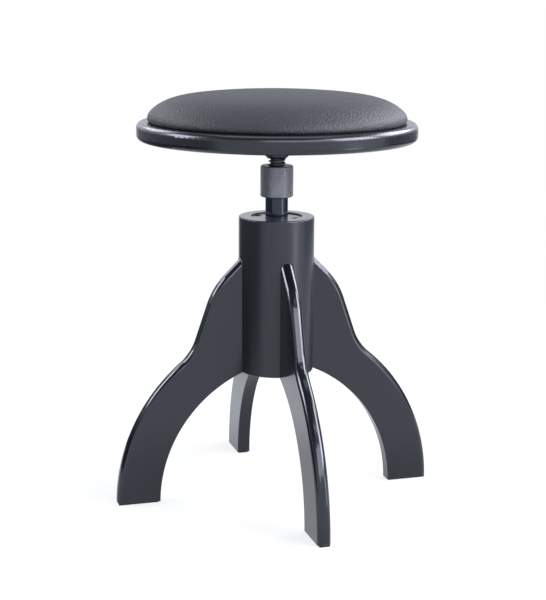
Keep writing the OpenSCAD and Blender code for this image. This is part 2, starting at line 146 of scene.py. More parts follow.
def polar(radius, angle, height):
    """A point at a distance from the axis, turned from +X by an angle."""
    return (radius * math.cos(angle), radius * math.sin(angle), height)


print("a quarter turn from +X is", [round(x, 3) for x in polar(1, math.pi / 2, 0)])

# %% [markdown]
# The floor is a sweep of pale paper. It could be lit until it is white, but so much light would
# grey the black stool. Instead, for the camera most of its colour is plain white, all of it far
# from the stool, and the rest near by is a matt surface that keeps the stool's soft shadow. A
# mirror sees it white all over, a little cool as under a flash, with a painted shade under the
# column, where a real floor is in shade.

# %% Floor
FLOOR_SIZE = 14

floor = mesh_object(
    "floor",
    [(x * FLOOR_SIZE / 2, y * FLOOR_SIZE / 2, 0) for x, y in ((-1, -1), (1, -1), (1, 1), (-1, 1))],
    [(0, 1, 2, 3)],
)
paper = bpy.data.materials.new("white_paper_sweep")
paper.use_nodes = True
tree = paper.node_tree
tree.nodes.clear()
floor.data.materials.append(paper)
print("floor", FLOOR_SIZE, "m wide")

# %% How much of the paper is plain white
WHITE_NEAR, WHITE_FAR = 0.76, 1.0
WHITE_NEAR_TO, WHITE_FAR_FROM = 0.35, 1.3

rays = add_node(tree, "ShaderNodeLightPath")
seen = add_node(tree, "ShaderNodeMath", {0: rays.outputs["Is Camera Ray"],
                1: rays.outputs["Is Glossy Ray"]}, operation="MAXIMUM")
seen = add_node(tree, "ShaderNodeMath", {0: seen.outputs[0],
                1: rays.outputs["Is Transmission Ray"]}, operation="MAXIMUM")
place = add_node(tree, "ShaderNodeTexCoord").outputs["Object"]
from_stool = add_node(tree, "ShaderNodeVectorMath", {0: place}, operation="LENGTH")
white_share = add_node(tree, "ShaderNodeMapRange", {"Value": from_stool.outputs["Value"],
                       "From Min": WHITE_NEAR_TO, "From Max": WHITE_FAR_FROM,
                       "To Min": WHITE_NEAR, "To Max": WHITE_FAR},
                       interpolation_type="SMOOTHSTEP")
share = add_node(tree, "ShaderNodeMix", {"Factor": rays.outputs["Is Camera Ray"],
                 "A": seen.outputs[0], "B": white_share.outputs["Result"]}, data_type="FLOAT")
print("paper white by", WHITE_NEAR, "near the stool and", WHITE_FAR, "far from it")

# %% The paper's two sides: plain white, and matt
MATT_PAPER = "#dededc"
COOL_WHITE = "#f3f6ff"
WHITE = (1, 1, 1, 1)
SHADE_UNDER = 0.7
SHADE_FULL_TO, SHADE_ENDS = 0.15, 0.32

matt = add_node(tree, "ShaderNodeBsdfDiffuse", {"Color": hex_colour(MATT_PAPER)})
tint = add_node(tree, "ShaderNodeMix", {0: rays.outputs["Is Camera Ray"],
                MIX_A: hex_colour(COOL_WHITE), MIX_B: WHITE}, data_type="RGBA")
# Painted shade: mirrors see the plain white dimmer near the stool, in place of its shadow
under = add_node(tree, "ShaderNodeMapRange", {"Value": from_stool.outputs["Value"],
                 "From Min": SHADE_FULL_TO, "From Max": SHADE_ENDS,
                 "To Min": SHADE_UNDER, "To Max": 1.0})
glow = add_node(tree, "ShaderNodeMix", {"Factor": rays.outputs["Is Camera Ray"],
                "A": under.outputs["Result"], "B": 1.0}, data_type="FLOAT")
plain = add_node(tree, "ShaderNodeEmission", {"Color": tint.outputs[MIX_RESULT],
                 "Strength": glow.outputs["Result"]})
mixed = add_node(tree, "ShaderNodeMixShader", {0: share.outputs[0], 1: matt.outputs[0],
                 2: plain.outputs[0]})
add_node(tree, "ShaderNodeOutputMaterial", {"Surface": mixed.outputs[0]})
print("paper made of", len(tree.nodes), "nodes")

# %% [markdown]
# For the camera the room is plain white. A mirror sees it white near the horizon and darker
# overhead, as a studio is above its lamps, and matt surfaces receive a dimmer, even light. A
# picture of a studio could do this too, but here each part of the light has its own number. What
# mirrors and matt surfaces get is a little cool, like the greys of the photograph.

# %% World
WORLD_FOR_MATT = 0.5
DARK_CEILING = 0.16
CEILING_STARTS, CEILING_FULL = 0.28, 0.52  # upward share of the direction that is looked in

world = bpy.data.worlds.new("white_studio")
world.use_nodes = True
bpy.context.scene.world = world
tree = world.node_tree
tree.nodes.clear()
rays = add_node(tree, "ShaderNodeLightPath")
toward = add_node(tree, "ShaderNodeTexCoord")
height = add_node(tree, "ShaderNodeSeparateXYZ", {0: toward.outputs["Generated"]})
ceiling = add_node(tree, "ShaderNodeMapRange", {"Value": height.outputs["Z"],
                   "From Min": CEILING_STARTS, "From Max": CEILING_FULL,
                   "To Min": 1.0, "To Max": DARK_CEILING}, interpolation_type="SMOOTHSTEP")
mirrored = add_node(tree, "ShaderNodeMath", {0: rays.outputs["Is Glossy Ray"],
                    1: rays.outputs["Is Transmission Ray"]}, operation="MAXIMUM")
glossy = add_node(tree, "ShaderNodeMix", {"Factor": mirrored.outputs[0], "A": WORLD_FOR_MATT,
                  "B": ceiling.outputs["Result"]}, data_type="FLOAT")
strength = add_node(tree, "ShaderNodeMix", {"Factor": rays.outputs["Is Camera Ray"],
                    "A": glossy.outputs["Result"], "B": 1.0}, data_type="FLOAT")
tint = add_node(tree, "ShaderNodeMix", {0: rays.outputs["Is Camera Ray"],
                MIX_A: hex_colour(COOL_WHITE), MIX_B: WHITE}, data_type="RGBA")
background = add_node(tree, "ShaderNodeBackground", {"Color": tint.outputs[MIX_RESULT],
                      "Strength": strength.outputs["Result"]})
add_node(tree, "ShaderNodeOutputWorld", {"Surface": background.outputs[0]})
print("room gives", WORLD_FOR_MATT, "to matt surfaces, its ceiling", DARK_CEILING, "to mirrors")

# %% [markdown]
# The soft boxes stand high round the stool. Their reflections are the white lines along the
# rounded edges and the broad sheen on the cushion: a large one at the right and one behind it, a
# smaller pair at the left, a dim wide one over the camera and one overhead. A low strip at the
# right gives the column its light band and the tube its glint. Point lamps would give dots instead
# of lines. A lamp's power is its radiance times its area times pi, so each is given by how bright
# it looks, and a place by its turn in degrees to the camera's right, its distance and its height.

# %% Lamp helpers
CAMERA_SIDE = math.atan2(CAMERA_PLACE[1], CAMERA_PLACE[0])
AIM = (0, 0, 0.3)


def beside_camera(turn_deg, distance, height):
    """A place at a distance from the axis, turned to the camera's right by an angle."""
    return polar(distance, CAMERA_SIDE + math.radians(turn_deg), height)


def soft_box(name, place, width, height, radiance):
    """Adds an area lamp that looks as bright as its radiance and faces the stool."""
    lamp = bpy.data.lights.new(name, "AREA")
    lamp.shape = "RECTANGLE"
    lamp.size = width
    lamp.size_y = height
    lamp.energy = radiance * width * height * math.pi
    lamp.color = hex_colour(COOL_WHITE)[:3]
    box = bpy.data.objects.new(name, lamp)
    box.location = place
    box.rotation_euler = (Vector(AIM) - Vector(place)).to_track_quat("-Z", "Y").to_euler()
    box.visible_camera = False
    bpy.context.scene.collection.objects.link(box)


print("the camera stands at", round(math.degrees(CAMERA_SIDE), 1), "degrees from +X")

# %% Lamps
soft_box("right_box", beside_camera(65, 1.5, 1.1), width=1.1, height=1.0, radiance=12.0)
soft_box("right_back_box", beside_camera(121, 1.5, 1.28), width=1.3, height=0.75, radiance=9.3)
soft_box("left_box", beside_camera(-84, 1.5, 1.15), width=0.8, height=0.65, radiance=10.5)
soft_box("left_back_box", beside_camera(-134, 1.5, 1.3), width=0.95, height=0.62, radiance=5.0)
soft_box("front_box", beside_camera(14, 1.7, 1.05), width=1.5, height=0.65, radiance=4.0)
soft_box("top_box", (0.05, 0.2, 2.2), width=1.6, height=1.2, radiance=1.5)
soft_box("low_right_strip", beside_camera(59, 0.93, 0.16), width=0.16, height=0.26, radiance=4.2)
print(len(bpy.data.lights), "soft boxes")

# %% [markdown]
# Photographers stand black cards low at both sides of a gloss black object, out of the camera's
# view, so that its sides reflect something dark and its shape can be read. A darker floor would do
# that too, but it would show. These are bent round the stool: the left one leans outward from the
# floor, and the right one's lower edge climbs away from it. Both have painted light: their velvet
# is coloured lighter towards the top, where more light falls on them. Only reflections see them.

# %% Velvet of the cards
VELVET_LOW, VELVET_HIGH = "#38383c", "#74747a"
LIGHTER_FROM, LIGHTEST_AT = 0.2, 0.42  # heights in metres

card_velvet = bpy.data.materials.new("black_velvet_card")
card_velvet.use_nodes = True
tree = card_velvet.node_tree
tree.nodes.clear()
place = add_node(tree, "ShaderNodeTexCoord").outputs["Object"]
up = add_node(tree, "ShaderNodeSeparateXYZ", {0: place})
# Painted light: the velvet is coloured lighter higher up, for the light that falls there
lighter = add_node(tree, "ShaderNodeMapRange", {"Value": up.outputs["Z"],
                   "From Min": LIGHTER_FROM, "From Max": LIGHTEST_AT})
shaded = add_node(tree, "ShaderNodeMix", {0: lighter.outputs[0], MIX_A: hex_colour(VELVET_LOW),
                  MIX_B: hex_colour(VELVET_HIGH)}, data_type="RGBA")
matt = add_node(tree, "ShaderNodeBsdfDiffuse", {"Color": shaded.outputs[MIX_RESULT]})
add_node(tree, "ShaderNodeOutputMaterial", {"Surface": matt.outputs[0]})
print("velvet from", VELVET_LOW, "up to", VELVET_HIGH)

# %% Black cards
CARD_TOP = 0.5
CARD_TOP_DISTANCE = 1.25
CARD_STEPS = 24
# For each card: the turns of its two ends, and the distance and height of its lower edge there
CARDS = {
    "left_card": ((-150, 0.52, 0.005), (-46, 0.6, 0.005)),
    "right_card": ((90, 1.25, 0.03), (150, 1.1, 0.12)),
}

for name, ends in CARDS.items():
    turns, distances, heights = (np.linspace(a, b, CARD_STEPS + 1) for a, b in zip(*ends))
    rim = [beside_camera(*low) for low in zip(turns, distances, heights)]
    rim += [beside_camera(turn, CARD_TOP_DISTANCE, CARD_TOP) for turn in turns]
    above = CARD_STEPS + 1
    card = mesh_object(name, rim, [(i, i + 1, i + 1 + above, i + above)
                                   for i in range(CARD_STEPS)])
    card.data.materials.append(card_velvet)
    card.visible_camera = card.visible_diffuse = card.visible_shadow = False
print(len(CARDS), "cards up to", CARD_TOP, "m high")

# %% [markdown]
# Every finish below starts from one principled shader. Patterns could be laid out on unwrapped
# faces, but the place on the surface can also come from the object's own coordinates. These are the
# frame's metres, so a pattern's scale is its real size, on new meshes and on CAD meshes alike.

# %% Material helper
def principled(name, **inputs):
    """Starts a material, and gives it with its tree, its shader and its coordinates."""
    material = bpy.data.materials.new(name)
    material.use_nodes = True
    tree = material.node_tree
    tree.nodes.clear()
    shader = add_node(tree, "ShaderNodeBsdfPrincipled",
                      {key.replace("_", " "): value for key, value in inputs.items()})
    add_node(tree, "ShaderNodeOutputMaterial", {"Surface": shader.outputs[0]})
    place = add_node(tree, "ShaderNodeTexCoord").outputs["Object"]
    return material, tree, shader, place


print(len(bpy.data.materials), "materials before the finishes")

# %% [markdown]
# **Black lacquer on wood.** The seat board, the column and the legs are sprayed with black lacquer
# and then with a clear coat. One glossy film could stand for both, but two reflect more from flat
# faces: the wood is nearly black seen straight on and a mirror at a grazing angle. The pores still
# show through as fine dashes, and the denser and softer strips of the grain as faint long streaks,
# up the column and the legs and across the seat board. The spray itself dries with the faint
# dimples called orange peel. The column is more satin, and its level top is glossier.

# %% Sizes and colours of the lacquer
PORE_WIDTH, PORE_LENGTH = 0.5 * MM, 14 * MM
PORE_DEPTH, PORE_STRENGTH = 0.03 * MM, 0.2
STREAK_WIDTH, STREAK_LENGTH = 3 * MM, 110 * MM
ORANGE_PEEL = 2.2 * MM
PEEL_DEPTH, PEEL_STRENGTH = 0.05 * MM, 0.1
BLACK_ON_DENSE, BLACK_ON_SOFT = "#07090c", "#111319"
COOL_GLOSS = "#ebeeff"
LACQUER_IOR = 1.5
LEVEL_FROM, LEVEL_AT = 0.9, 0.99  # upward share of the normal where a face counts as level
print("lacquer streaks", round(STREAK_LENGTH / MM), "mm long")

# %% Lacquer
def lacquer(name, grain_axis, smooth, rough, clear, level_share=1.0):
    """Clear coat over black over wood whose grain runs along an axis, 0 for x or 2 for z.

    The black's roughness drifts from smooth to rough, times level_share on faces that look up.
    """
    material, tree, shader, place = principled(name, IOR=LACQUER_IOR, Coat_Weight=clear,
                                               Coat_IOR=LACQUER_IOR, Coat_Roughness=smooth,
                                               Specular_Tint=hex_colour(COOL_GLOSS))
    grain = []
    for width, length in ((PORE_WIDTH, PORE_LENGTH), (STREAK_WIDTH, STREAK_LENGTH)):
        scale = [1 / (length if axis == grain_axis else width) for axis in range(3)]
        along = add_node(tree, "ShaderNodeMapping", {"Vector": place, "Scale": scale})
        grain.append(add_node(tree, "ShaderNodeTexNoise", {"Vector": along.outputs[0],
                     "Scale": 1.0, "Detail": 2.0, "Roughness": 0.6}))
    pores, streaks = grain
    peel = add_node(tree, "ShaderNodeTexNoise", {"Vector": place, "Scale": 1 / ORANGE_PEEL,
                    "Detail": 1.0})
    black = add_node(tree, "ShaderNodeMix", {0: streaks.outputs[0],
                     MIX_A: hex_colour(BLACK_ON_DENSE), MIX_B: hex_colour(BLACK_ON_SOFT)},
                     data_type="RGBA")
    tree.links.new(black.outputs[MIX_RESULT], shader.inputs["Base Color"])
    normal = add_node(tree, "ShaderNodeTexCoord").outputs["Normal"]
    upward = add_node(tree, "ShaderNodeSeparateXYZ", {0: normal})
    level = add_node(tree, "ShaderNodeMapRange", {"Value": upward.outputs["Z"],
                     "From Min": LEVEL_FROM, "From Max": LEVEL_AT,
                     "To Min": 1.0, "To Max": level_share})
    upright = add_node(tree, "ShaderNodeMapRange", {"Value": streaks.outputs[0],
                       "To Min": rough, "To Max": smooth})
    roughness = add_node(tree, "ShaderNodeMath", {0: upright.outputs["Result"],
                         1: level.outputs["Result"]}, operation="MULTIPLY")
    tree.links.new(roughness.outputs[0], shader.inputs["Roughness"])
    bump = add_node(tree, "ShaderNodeBump", {"Height": peel.outputs[0],
                    "Strength": PEEL_STRENGTH, "Distance": PEEL_DEPTH})
    bump = add_node(tree, "ShaderNodeBump", {"Height": pores.outputs[0],
                    "Strength": PORE_STRENGTH, "Distance": PORE_DEPTH,
                    "Normal": bump.outputs[0]})
    tree.links.new(bump.outputs[0], shader.inputs["Normal"])
    return material


# %% Lacquer on the legs, the column and the board
leg_lacquer = lacquer("black_lacquer_on_legs", 2, smooth=0.10, rough=0.20, clear=0.6)
column_lacquer = lacquer("black_lacquer_on_column", 2, smooth=0.30, rough=0.42, clear=0.5,
                         level_share=0.5)
board_lacquer = lacquer("black_lacquer_on_board", 0, smooth=0.21, rough=0.34, clear=0.45)
print("lacquers:", leg_lacquer.name, column_lacquer.name, board_lacquer.name)

# %% [markdown]
# **Leathercloth.** The cushion's cover is cloth coated with soft PVC and embossed with a pebbled
# grain, which breaks the wide sheen into grains and leaves the creases between them duller. A plain
# noise would look like dust, so each pebble is the cell round one of many scattered points, and
# all are bent along a slow noise so that no rows can be seen. Real pebbles are little over a
# millimetre across. They are drawn at twice that, as coarse as they have to be to show in the
# picture.

# %% Pebbles of the leathercloth
PEBBLE = 2.4 * MM
PEBBLE_ROUNDED = 0.35
BEND_LENGTH, BEND_BY = 3 * PEBBLE, 1.2 * PEBBLE
FINE_GRAIN = 0.5 * MM
COLOUR_PATCH = 60 * MM

leathercloth, tree, shader, place = principled("black_pvc_leathercloth", IOR=1.52,
                                               Sheen_Weight=0.02, Sheen_Roughness=0.4)
wander = add_node(tree, "ShaderNodeTexNoise", {"Vector": place, "Scale": 1 / BEND_LENGTH,
                  "Detail": 2.0})
bent = add_node(tree, "ShaderNodeVectorMath", {0: wander.outputs["Color"], 1: (0.5, 0.5, 0.5)},
                operation="SUBTRACT")
bent = add_node(tree, "ShaderNodeVectorMath", {0: bent.outputs[0], "Scale": BEND_BY},
                operation="SCALE")
bent = add_node(tree, "ShaderNodeVectorMath", {0: place, 1: bent.outputs[0]}, operation="ADD")
pebbles = add_node(tree, "ShaderNodeTexVoronoi", {"Vector": bent.outputs[0],
                   "Scale": 1 / PEBBLE}, feature="SMOOTH_F1")
pebbles.inputs["Smoothness"].default_value = PEBBLE_ROUNDED
creases = add_node(tree, "ShaderNodeTexVoronoi", {"Vector": bent.outputs[0],
                   "Scale": 1 / PEBBLE}, feature="DISTANCE_TO_EDGE")
fine = add_node(tree, "ShaderNodeTexNoise", {"Vector": place, "Scale": 1 / FINE_GRAIN,
                "Detail": 2.0})
cloud = add_node(tree, "ShaderNodeTexNoise", {"Vector": place, "Scale": 1 / COLOUR_PATCH,
                 "Detail": 2.0})
print("pebbles", round(PEBBLE / MM, 1), "mm across")

# %% Colour, gloss and relief of the leathercloth
PVC_DARK, PVC_LIGHT = "#222429", "#2a2c31"
CREASE_ROUGHNESS, PEBBLE_ROUGHNESS = 0.62, 0.46
PEBBLE_DEPTH, PEBBLE_STRENGTH = 0.55 * MM, 0.9
FINE_DEPTH, FINE_STRENGTH = 0.05 * MM, 0.15

colour = add_node(tree, "ShaderNodeMix", {0: cloud.outputs[0], MIX_A: hex_colour(PVC_DARK),
                  MIX_B: hex_colour(PVC_LIGHT)}, data_type="RGBA")
tree.links.new(colour.outputs[MIX_RESULT], shader.inputs["Base Color"])
roughness = add_node(tree, "ShaderNodeMapRange", {"Value": creases.outputs[0],
                     "To Min": CREASE_ROUGHNESS, "To Max": PEBBLE_ROUGHNESS})
tree.links.new(roughness.outputs["Result"], shader.inputs["Roughness"])
# The pattern's value grows from each pebble's middle outward, so the relief is inverted
bump = add_node(tree, "ShaderNodeBump", {"Height": pebbles.outputs[0],
                "Strength": PEBBLE_STRENGTH, "Distance": PEBBLE_DEPTH}, invert=True)
bump = add_node(tree, "ShaderNodeBump", {"Height": fine.outputs[0], "Strength": FINE_STRENGTH,
                "Distance": FINE_DEPTH, "Normal": bump.outputs[0]})
tree.links.new(bump.outputs[0], shader.inputs["Normal"])
print("leathercloth made of", len(tree.nodes), "nodes")

# %% [markdown]
# **Steel, nylon and felt.** The tube, the flange, the hub and its plate have gloss black paint; the
# screw and the hand nut are blackened in an oxide bath, which leaves bare metal that is dark but
# still a mirror, and worn lighter on the knurl; the small fixings are zinc plated. The bushes and
# the washer are moulded from nylon filled with graphite, a dull black, and the feet have pressed
# felt. Each could have one flat colour, but sprayed, dipped, plated and moulded skins are slightly
# uneven: a noise drifts through their colour and roughness over patches of a few millimetres.

# %% Uneven films
FILM_STRENGTH = 0.3


def uneven_film(name, dark, light, smooth, rough, patch, metallic=0.0, ior=1.5, bump_mm=0.0,
                tint="#ffffff"):
    """A painted, oxidised or plated film whose colour and roughness drift over patches."""
    material, tree, shader, place = principled(name, Metallic=metallic, IOR=ior,
                                               Specular_Tint=hex_colour(tint))
    cloud = add_node(tree, "ShaderNodeTexNoise", {"Vector": place, "Scale": 1 / patch,
                     "Detail": 4.0})
    colour = add_node(tree, "ShaderNodeMix", {0: cloud.outputs[0], MIX_A: hex_colour(dark),
                      MIX_B: hex_colour(light)}, data_type="RGBA")
    tree.links.new(colour.outputs[MIX_RESULT], shader.inputs["Base Color"])
    roughness = add_node(tree, "ShaderNodeMapRange", {"Value": cloud.outputs[0],
                         "To Min": smooth, "To Max": rough})
    tree.links.new(roughness.outputs["Result"], shader.inputs["Roughness"])
    if bump_mm:
        bump = add_node(tree, "ShaderNodeBump", {"Height": cloud.outputs[0],
                        "Strength": FILM_STRENGTH, "Distance": bump_mm * MM})
        tree.links.new(bump.outputs[0], shader.inputs["Normal"])
    return material


print("an uneven film has a relief strength of", FILM_STRENGTH)

# %% Steel, nylon and felt
painted_steel = uneven_film("gloss_black_painted_steel", "#161a23", "#1e222c", smooth=0.08,
                            rough=0.16, patch=4 * MM, ior=1.6, bump_mm=0.02, tint="#e1e7ff")
oxide_steel = uneven_film("black_oxide_steel", "#3a3b40", "#54555c", smooth=0.28, rough=0.45,
                          patch=3 * MM, metallic=1.0)
knurled_steel = uneven_film("knurled_black_oxide_steel", "#8e8f94", "#a7a8ad", smooth=0.28,
                            rough=0.42, patch=2 * MM, metallic=1.0)
zinc = uneven_film("zinc_plated_steel", "#b4b8bc", "#d4d7da", smooth=0.22, rough=0.38,
                   patch=2.5 * MM, metallic=1.0)
nylon = uneven_film("graphite_filled_nylon", "#232325", "#2e2e31", smooth=0.38, rough=0.5,
                    patch=5 * MM, ior=1.53, bump_mm=0.05)
felt = uneven_film("pressed_black_felt", "#101010", "#1d1d1d", smooth=0.9, rough=1.0,
                   patch=0.6 * MM, bump_mm=0.4)
print(len(bpy.data.materials), "materials so far")

# %% [markdown]
# **Raw wood.** The plywood disc under the cushion and the dowels in the legs are never seen on a
# whole stool, but they are real pieces, so they have their own raw wood. Rings could be drawn for
# each log, but cut wood mostly shows its fibres, which are a noise stretched along the grain. The
# plywood's edge shows its plies as bands of height.

# %% Raw wood
FIBRE_WIDTH, FIBRE_LENGTH = 0.8 * MM, 25 * MM
FIBRE_DEPTH, FIBRE_STRENGTH = 0.1 * MM, 0.3


def raw_wood(name, dark, light, grain_axis, ply=None):
    """Unfinished wood whose grain runs along an axis, with bands of a ply's thickness if given."""
    material, tree, shader, place = principled(name, Roughness=0.7, IOR=1.5)
    stretch = [1 / FIBRE_WIDTH] * 3
    stretch[grain_axis] = 1 / FIBRE_LENGTH
    along = add_node(tree, "ShaderNodeMapping", {"Vector": place, "Scale": stretch})
    fibres = add_node(tree, "ShaderNodeTexNoise", {"Vector": along.outputs[0], "Scale": 1.0,
                      "Detail": 4.0})
    colour = add_node(tree, "ShaderNodeMix", {0: fibres.outputs[0], MIX_A: hex_colour(dark),
                      MIX_B: hex_colour(light)}, data_type="RGBA")
    if ply:
        split = add_node(tree, "ShaderNodeSeparateXYZ", {0: place})
        layer = add_node(tree, "ShaderNodeMath", {0: split.outputs["Z"], 1: math.pi / ply},
                         operation="MULTIPLY")
        layer = add_node(tree, "ShaderNodeMath", {0: layer.outputs[0]}, operation="SINE")
        layer = add_node(tree, "ShaderNodeMath", {0: layer.outputs[0], 1: 0.0},
                         operation="GREATER_THAN")
        colour = add_node(tree, "ShaderNodeMix", {0: layer.outputs[0],
                          MIX_A: colour.outputs[MIX_RESULT], MIX_B: hex_colour(dark)},
                          data_type="RGBA")
    tree.links.new(colour.outputs[MIX_RESULT], shader.inputs["Base Color"])
    bump = add_node(tree, "ShaderNodeBump", {"Height": fibres.outputs[0],
                    "Strength": FIBRE_STRENGTH, "Distance": FIBRE_DEPTH})
    tree.links.new(bump.outputs[0], shader.inputs["Normal"])
    return material


plywood = raw_wood("raw_birch_plywood", "#a98455", "#d2b285", 0, ply=1.3 * MM)
beech = raw_wood("raw_beech", "#b98f63", "#d8b48a", 0)
print("raw woods:", plywood.name, beech.name)

# %% [markdown]
# The CAD pieces that already have the right shape keep their meshes, and only get their finish. All
# could be modelled anew, but a turned or sawn piece gains nothing from that. The four pieces that
# finer ones replace below get theirs too, so that none is ever without one.

# %% Finishes of the CAD pieces
FINISHES = {
    board_lacquer: ["seat_board"],
    column_lacquer: ["column"],
    leg_lacquer: ["leg_right", "leg_back", "leg_left", "leg_front"],
    leathercloth: ["seat_cover", "seat_foam"],
    painted_steel: ["spindle_plate", "spindle_hub", "guide_tube", "tube_flange"],
    oxide_steel: ["spindle", "flange_screws"],
    knurled_steel: ["hand_nut"],
    zinc: ["cover_staples", "pad_screws", "plate_screws", "hub_pin", "stop_washer", "stop_screw"],
    nylon: ["thrust_washer", "upper_bush", "lower_bush"],
    felt: ["foot_pads"],
    plywood: ["pad_board"],
    beech: ["leg_dowels"],
}
for finish, names in FINISHES.items():
    for name in names:
        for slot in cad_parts[name].material_slots:
            slot.material = finish
print(sum(map(len, FINISHES.values())), "CAD pieces finished")

# %% [markdown]
# **Cushion.** Leathercloth is pulled over a foam disc and stapled under a plywood disc, so the top
# is a taut dome, its shoulder turns down sharply and its lower edge draws in to the board. Its
# outline can be drawn and revolved, but that alone looks too perfect. Here the outline only gives
# a slightly small start, which the next step blows up as cloth.

# %% Cushion outline
cover_low, cover_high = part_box("seat_cover")
PAD_RADIUS = cover_high.x
BOARD_TOP = cover_low.z
PAD_HEIGHT = cover_high.z - BOARD_TOP
CROWN_DROP = 8.5 * MM
SHOULDER_DROP = 18 * MM
SHOULDER_POWER = 8.6
SHOULDER_STARTS = 0.96
SLOPE_STEP = 0.001
TUCK = 4 * MM
TURN_STEPS, TUCK_STEPS = 8, 6


def crown_height(share):
    """Height of the finished cushion above the board, at a share of its radius."""
    return PAD_HEIGHT - CROWN_DROP * share ** 2 - SHOULDER_DROP * share ** SHOULDER_POWER


def cushion_outline(inset, steps=40):
    """Radius and height of the cushion's half section, from the top's middle to its lower edge."""
    edge = PAD_RADIUS - inset
    shares = [SHOULDER_STARTS * math.sin(math.pi / 2 * i / steps) for i in range(steps + 1)]
    crown = [(s * edge, crown_height(s) - inset) for s in shares]
    # The last of the shoulder is one curve from the crown's slope into the upright side
    (r0, z0), near = crown[-1], SHOULDER_STARTS - SLOPE_STEP
    slope = (crown_height(SHOULDER_STARTS) - crown_height(near)) / (SLOPE_STEP * edge)
    z1 = z0 + slope * (edge - r0)
    turn_down = []
    for t in (i / TURN_STEPS for i in range(1, TURN_STEPS)):
        before, middle, after = (1 - t) ** 2, 2 * t * (1 - t), t ** 2
        turn_down.append((before * r0 + (middle + after) * edge,
                          before * z0 + middle * z1 + after * TUCK))
    turns = [math.pi / 2 * i / TUCK_STEPS for i in range(TUCK_STEPS + 1)]
    tuck = [(PAD_RADIUS - TUCK + (TUCK - inset) * math.cos(a),
             TUCK - (TUCK - inset) * math.sin(a)) for a in turns]
    return crown + turn_down + tuck


print("outline of", len(cushion_outline(0.0)), "points,", round(PAD_HEIGHT / MM, 1), "mm high")

# %% Cushion's start
SWELL = 2.0 * MM
START_STEPS = 128


def revolve(outline, count, base_z):
    """Points and faces of an outline turned round the axis, closed at both ends."""
    points = [(0, 0, base_z + outline[0][1])]
    for radius, height in outline[1:]:
        points += [polar(radius, 2 * math.pi * k / count, base_z + height) for k in range(count)]
    faces = [(0, 1 + k, 1 + (k + 1) % count) for k in range(count)]
    for ring in range(len(outline) - 2):
        a, b = 1 + ring * count, 1 + (ring + 1) * count
        faces += [(a + k, b + k, b + (k + 1) % count, a + (k + 1) % count) for k in range(count)]
    last = 1 + (len(outline) - 2) * count
    faces.append(tuple(last + k for k in reversed(range(count))))
    return points, faces


cushion = mesh_object("cushion", *revolve(cushion_outline(SWELL), START_STEPS, BOARD_TOP))
print("cushion starts", round(PAD_RADIUS - SWELL, 4), "m in radius")

# %% [markdown]
# Foam presses its cover outward, and the staples hold it down. Cloth under pressure does the same,
# and sculpting it by hand would take much longer. The start is remeshed first, because cloth needs
# even faces. Its lower edge is held, and no point may move further than the foam is soft. Then the
# modifiers are applied, so that the piece is plain mesh.

# %% Helpers for points and modifiers
def apply_modifiers(piece):
    """Turns a piece's modifiers into its mesh."""
    shape = piece.evaluated_get(bpy.context.evaluated_depsgraph_get())
    made = bpy.data.meshes.new_from_object(shape)
    piece.modifiers.clear()
    piece.data = made


def coordinates(mesh):
    """A mesh's points as rows of an array."""
    flat = np.empty(len(mesh.vertices) * 3)
    mesh.vertices.foreach_get("co", flat)
    return flat.reshape(-1, 3)


print("cushion starts with", len(coordinates(cushion.data)), "points")

# %% Cloth helper
HELD_HEIGHT = 5 * MM
MOST_SWELL = 5 * MM
PRESSURE = 4.0
STRETCH_STIFFNESS, BEND_STIFFNESS = 30, 2
CLOTH_FRAMES = 20
TINY = 1e-9  # a length that is safe to divide by


def swell(piece):
    """Blows a closed piece up as cloth, its lower edge held, and caps how far a point moves."""
    start = coordinates(piece.data)
    held = piece.vertex_groups.new(name="held")
    for index, z in enumerate(start[:, 2]):
        if z < BOARD_TOP + HELD_HEIGHT:
            held.add([index], 1.0, "REPLACE")
    cloth = piece.modifiers.new("cloth", "CLOTH")
    settings = cloth.settings
    settings.use_pressure = True
    settings.uniform_pressure_force = PRESSURE
    settings.vertex_group_mass = "held"
    settings.effector_weights.gravity = 0
    settings.tension_stiffness = settings.compression_stiffness = STRETCH_STIFFNESS
    settings.bending_stiffness = BEND_STIFFNESS
    cloth.collision_settings.use_collision = False
    cloth.point_cache.frame_start, cloth.point_cache.frame_end = 1, CLOTH_FRAMES
    for step in range(1, CLOTH_FRAMES + 1):
        bpy.context.scene.frame_set(step)
    apply_modifiers(piece)
    bpy.context.scene.frame_set(1)
    moved = coordinates(piece.data) - start
    length = np.linalg.norm(moved, axis=1, keepdims=True)
    moved *= np.minimum(1, MOST_SWELL / np.maximum(length, TINY))
    piece.data.vertices.foreach_set("co", (start + moved).ravel())
    piece.data.update()
    print("cushion swelled by up to", round(float(length.max()) / MM, 2), "mm")


print("cloth under a pressure of", PRESSURE, "for", CLOTH_FRAMES, "frames")

# %% Cushion blown up as cloth
VOXEL = 5 * MM
SMOOTHING, SMOOTH_ROUNDS = 0.5, 4

remesh = cushion.modifiers.new("remesh", "REMESH")
remesh.mode = "VOXEL"
remesh.voxel_size = VOXEL
apply_modifiers(cushion)
swell(cushion)
smooth = cushion.modifiers.new("smooth", "SMOOTH")
smooth.factor, smooth.iterations = SMOOTHING, SMOOTH_ROUNDS
cushion.modifiers.new("subdivision", "SUBSURF").levels = 1
apply_modifiers(cushion)
print("cushion", len(cushion.data.vertices), "points after subdivision")

# %% [markdown]
# The cloth finds soft, uneven surfaces, but the upholsterer's template still rules the size. The
# whole could be scaled to fit, but that would keep the wrong curves. Instead each point is measured
# along a line from the cushion's middle, and whatever departs from the outline by more than the
# foam allows is brought back. Where the cover turns under the edge, the pull of the staples leaves
# shallow puckers, which are two uneven waves round the edge.

# %% Template helper
MOST_OFF = 0.35 * MM
SOFT_OFF = 4 * MOST_OFF
PUCKER_DEPTH = 0.35 * MM
PUCKER_HEIGHT = 11 * MM
PUCKERS = ((0.6, 24, 1.3, 3), (0.4, 41, 2.0, 5))  # share, waves round the edge, sway, sways round
CLEAR_OF_BOARD = 0.05 * MM
OUTLINE_STEPS = 160


